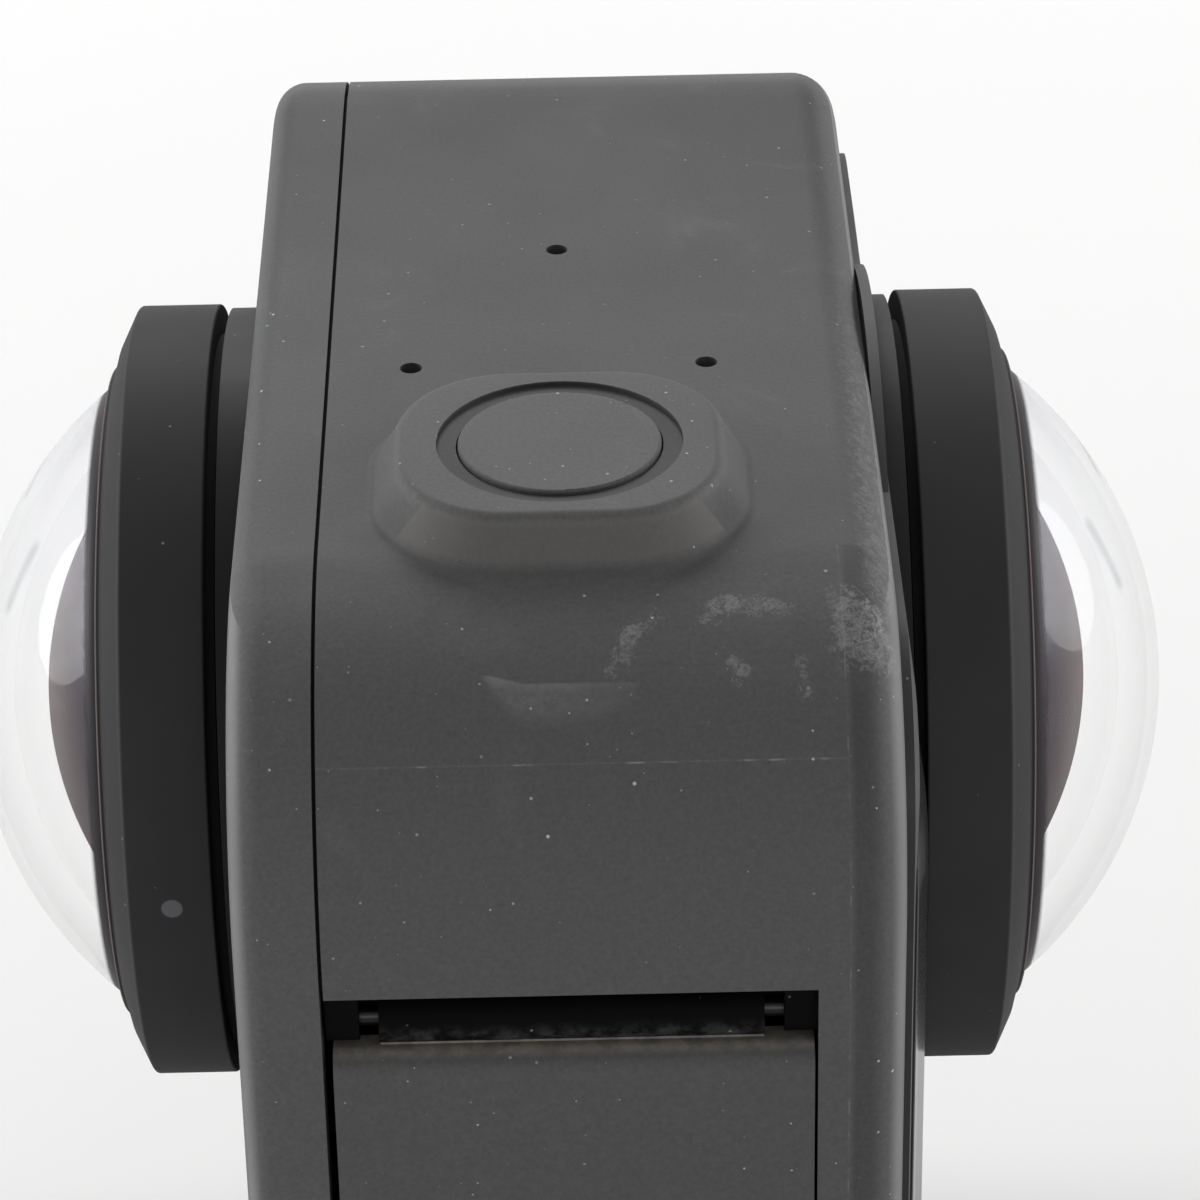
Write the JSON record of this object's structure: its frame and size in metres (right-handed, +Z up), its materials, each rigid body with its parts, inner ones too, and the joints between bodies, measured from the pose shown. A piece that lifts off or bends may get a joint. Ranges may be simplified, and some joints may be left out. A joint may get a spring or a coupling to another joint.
{
  "type": "360 degree camera",
  "caption": "Pocket 360 degree camera with a domed fisheye lens on each face, twist-off lens rings, a shutter button on top, a hinged battery door and folding mounting fingers.",
  "frame": {"origin": "middle of the base, on the surface that the camera stands on", "axes": "+Z up to the shutter button; +X along the lens axis towards the screen side; -Y towards the battery door"},
  "size_m": [0.0508, 0.062, 0.07],
  "materials": {
    "body_shell": "soft-touch matt",
    "cover_shell": "soft-touch matt",
    "ring_shell": "fine satin",
    "button_plastic": "matt",
    "black_plastic": "matt black",
    "grey_plastic": "matt",
    "seal_rubber": "matt",
    "clear_dome": "polished and coated",
    "coated_lens": "dark coated",
    "screen_cover": "polished black",
    "display": "gloss",
    "board": "solder mask",
    "steel": "plain",
    "dark_alloy": "black anodised",
    "contact_metal": "gold plated",
    "light_pipe": "translucent white"
  },
  "bodies": {
    "camera": {"main_housing": "body_shell", "front_cover": "cover_shell", "cover_gasket": "seal_rubber", "shutter_switch": "black_plastic", "shutter_board": "board", "button_screws": "steel", "microphones": "steel", "mode_switch": "black_plastic", "main_board": "board", "board_shield": "steel", "board_screws": "steel", "heat_spreader": "dark_alloy", "speaker": "black_plastic", "status_light": "light_pipe", "battery_tray": "black_plastic", "battery": "grey_plastic", "battery_contacts": "contact_metal", "port_panel": "black_plastic", "port_board": "board", "usb_port": "steel", "card_slot": "steel", "memory_card": "black_plastic", "door_hinge_pin": "steel", "rear_bezel": "black_plastic", "screen_glass": "screen_cover", "display_module": "display", "finger_pins": "steel", "tripod_insert": "steel", "front_sensor_board": "board", "front_sensor": "black_plastic", "front_lens_barrel": "dark_alloy", "front_lens_group": "coated_lens", "front_inner_lens": "coated_lens", "front_retainer": "black_plastic", "front_mount_ring": "dark_alloy", "front_mount_screws": "steel", "rear_sensor_board": "board", "rear_sensor": "black_plastic", "rear_lens_barrel": "dark_alloy", "rear_lens_group": "coated_lens", "rear_inner_lens": "coated_lens", "rear_retainer": "black_plastic", "rear_mount_ring": "dark_alloy", "rear_mount_screws": "steel"},
    "shutter": {"shutter_button": "button_plastic", "shutter_seal": "seal_rubber"},
    "mode": {"mode_button": "button_plastic"},
    "door": {"side_door": "body_shell", "door_seal": "seal_rubber"},
    "latch": {"door_latch": "button_plastic"},
    "front_twist_ring": {"front_lens_ring": "ring_shell", "front_dome": "clear_dome", "front_ring_seal": "seal_rubber"},
    "rear_twist_ring": {"rear_lens_ring": "ring_shell", "rear_dome": "clear_dome", "rear_ring_seal": "seal_rubber"},
    "left_finger": {"finger_left": "dark_alloy"},
    "right_finger": {"finger_right": "dark_alloy"}
  },
  "joints": [
    {"name": "shutter_press", "type": "slide", "parent": "camera", "child": "shutter", "axis": [0, 0, -1], "range_m": [0, 0.0005], "stiffness_N_per_m": 2000, "springref_m": -0.0005},
    {"name": "mode_press", "type": "slide", "parent": "camera", "child": "mode", "axis": [0, -1, 0], "range_m": [0, 0.0004], "stiffness_N_per_m": 2000, "springref_m": -0.0004},
    {"name": "door_swing", "type": "hinge", "parent": "camera", "child": "door", "pos_m": [0, -0.0296, 0.0536], "axis": [-1, 0, 0], "range_deg": [0, 92]},
    {"name": "latch_slide", "type": "slide", "parent": "door", "child": "latch", "axis": [0, 0, -1], "range_m": [0, 0.0015]},
    {"name": "front_ring_twist", "type": "hinge", "parent": "camera", "child": "front_twist_ring", "pos_m": [-0.0144, 0, 0.0498], "axis": [-1, 0, 0], "range_deg": [0, 50]},
    {"name": "rear_ring_twist", "type": "hinge", "parent": "camera", "child": "rear_twist_ring", "pos_m": [0.0144, 0, 0.0498], "axis": [1, 0, 0], "range_deg": [0, 50]},
    {"name": "left_finger_fold", "type": "hinge", "parent": "camera", "child": "left_finger", "pos_m": [0, -0.0031, 0.0018], "axis": [1, 0, 0], "range_deg": [0, 90]},
    {"name": "right_finger_fold", "type": "hinge", "parent": "camera", "child": "right_finger", "pos_m": [0, 0.0031, 0.0018], "axis": [-1, 0, 0], "range_deg": [0, 90]}
  ]
}
